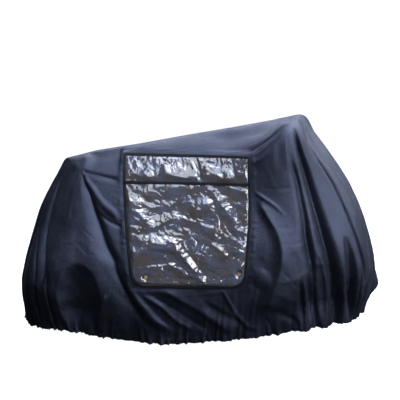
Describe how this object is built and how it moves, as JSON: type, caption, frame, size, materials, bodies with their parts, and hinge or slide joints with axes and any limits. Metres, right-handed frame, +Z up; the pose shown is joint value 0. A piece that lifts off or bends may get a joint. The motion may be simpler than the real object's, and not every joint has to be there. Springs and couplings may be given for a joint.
{
  "type": "bicycle cover",
  "caption": "Fitted bicycle cover of black coated cloth, hanging in use with a gathered hem and folds, and a clear flap-topped window pocket with eyelets on one side.",
  "frame": {"origin": "the point under the cloth, on the centre plane, where the front peak rests on what it covers", "axes": "+X towards the front, along the cover's length; +Y across it, away from the side with the pocket; +Z up"},
  "size_m": [1.7651, 0.6832, 1.0526],
  "materials": {
    "cloth": "black coated polyester cloth with a soft sheen",
    "clear_sheet": "clear soft vinyl, glossy and creased",
    "tape": "black woven binding tape",
    "eyelet_brass": "polished brass"
  },
  "bodies": {
    "root": {"shell_rear": "cloth", "shell_middle": "cloth", "shell_front": "cloth", "pocket_sheet": "clear_sheet", "pocket_flap": "clear_sheet", "pocket_tape": "tape", "flap_tape": "tape", "eyelet_rear": "eyelet_brass", "eyelet_front": "eyelet_brass"}
  },
  "joints": []
}
